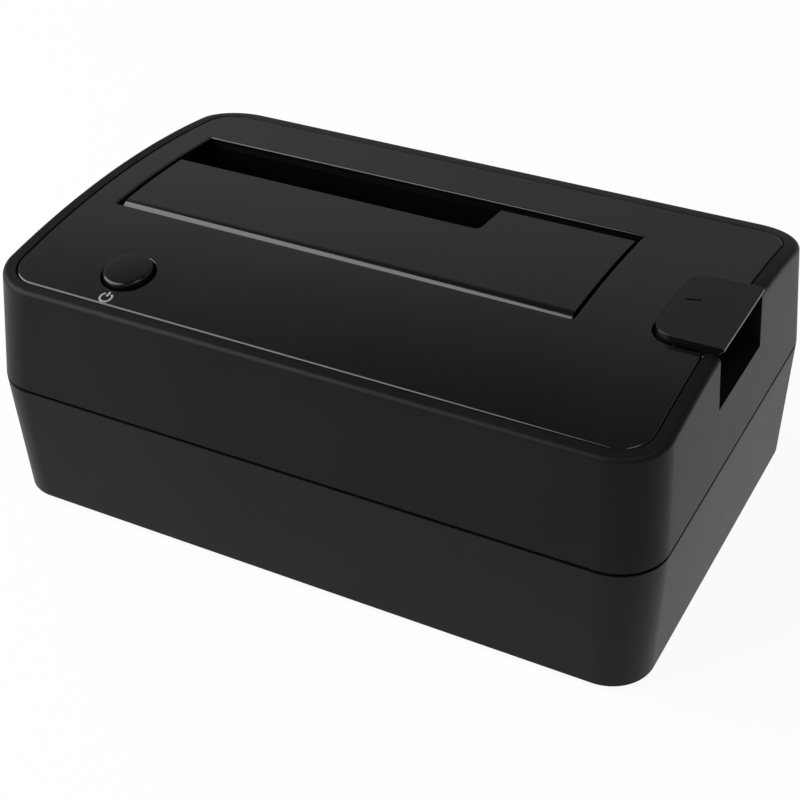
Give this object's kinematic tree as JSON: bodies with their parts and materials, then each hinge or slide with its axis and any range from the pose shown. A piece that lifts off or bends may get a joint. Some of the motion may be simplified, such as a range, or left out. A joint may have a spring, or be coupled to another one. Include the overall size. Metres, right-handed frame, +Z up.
{
  "type": "hard drive docking station",
  "caption": "Top-loading docking station for a bare drive: crowned black case with a sprung slot flap, a power button and an eject tab, with data and power sockets behind.",
  "frame": {"origin": "on the surface that the feet stand on, under the middle of the case", "axes": "+X along the length towards the eject tab, +Y to the rear with the sockets, +Z up"},
  "size_m": [0.145, 0.093, 0.0575],
  "materials": {
    "shell": "satin black, fine moulded texture",
    "gloss": "smooth semi-gloss black",
    "bay": "plain black moulding",
    "rubber": "matt black",
    "steel": "drawn wire and turned pins",
    "screw": "zinc plated",
    "rocker": "grey acetal",
    "board": "solder mask green",
    "connector": "black moulding",
    "contact": "gold flashed",
    "socket_shell": "tin plated steel",
    "socket_insert": "blue insulator",
    "ivory": "natural nylon",
    "chip": "moulded epoxy",
    "can": "plain aluminium can",
    "lead": "jacketed lead"
  },
  "bodies": {
    "root": {"lower_shell": "shell", "upper_shell": "shell", "top_plate": "gloss", "door_hinge_rod": "steel", "door_spring": "steel", "drive_bay": "bay", "bay_screws": "screw", "button_spring": "steel", "switch_board": "board", "tact_switch": "connector", "switch_board_screws": "screw", "rocker_pin": "steel", "eject_spring": "steel", "main_board": "board", "sata_receptacle": "connector", "sata_contacts": "contact", "usb_port": "socket_shell", "usb_tongue": "socket_insert", "dc_jack": "connector", "jack_pin": "steel", "bridge_chip": "chip", "capacitors": "can", "board_screws": "screw", "switch_lead": "lead", "lead_plugs": "ivory", "case_screws": "screw", "rubber_feet": "rubber"},
    "door": {"slot_door": "gloss"},
    "power_button": {"power_button": "gloss", "switch_plunger": "ivory"},
    "eject_button": {"eject_button": "gloss"},
    "rocker": {"eject_rocker": "rocker"}
  },
  "joints": [
    {"name": "door_swing", "type": "hinge", "parent": "root", "child": "door", "pos_m": [0, -0.0083, 0.05294], "axis": [-1, 0, 0], "range_deg": [0, 88], "stiffness_Nm_per_rad": 0.004, "springref_deg": -40.11, "deforming": ["door_spring"]},
    {"name": "power_press", "type": "slide", "parent": "root", "child": "power_button", "axis": [0, 0, -1], "range_m": [0, 0.0008], "stiffness_N_per_m": 100, "springref_m": -0.003, "deforming": ["button_spring"]},
    {"name": "eject_press", "type": "slide", "parent": "root", "child": "eject_button", "axis": [0, 0, -1], "range_m": [0, 0.006], "stiffness_N_per_m": 120, "springref_m": -0.004, "deforming": ["eject_spring"]},
    {"name": "rocker_tip", "type": "hinge", "parent": "root", "child": "rocker", "pos_m": [0.04968, 0.004, 0.0172], "axis": [0, 1, 0], "range_deg": [0, 31.7]}
  ],
  "couplings": [
    {"joint": "rocker_tip", "follows": "eject_press", "rad_per_m": 92.076}
  ]
}
